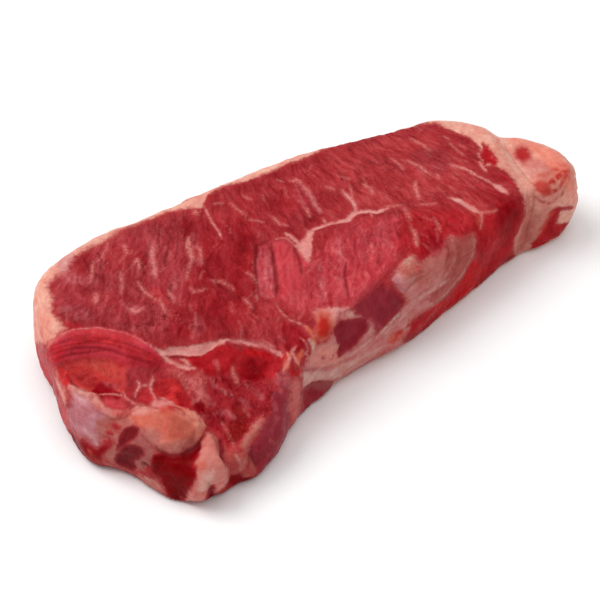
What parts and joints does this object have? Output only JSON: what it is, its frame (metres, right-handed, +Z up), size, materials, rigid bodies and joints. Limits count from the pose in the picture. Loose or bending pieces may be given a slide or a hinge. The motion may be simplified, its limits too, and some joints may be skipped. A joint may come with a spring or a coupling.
{
  "type": "raw sirloin steak",
  "caption": "Thick raw boneless sirloin (strip loin) steak lying flat, with a broad eye muscle, a fat cap, a chain lobe at one end and a fatty tail at the other.",
  "frame": {"origin": "middle of the bounding box on the flat underside, the cut face that the steak lies on", "axes": "+X along the steak from the chine end to the tail, +Y towards the fat cap, +Z up through the thickness"},
  "size_m": [0.214, 0.114, 0.031],
  "materials": {
    "meat": "moist satin"
  },
  "bodies": {
    "root": {"steak": "meat"}
  },
  "joints": []
}
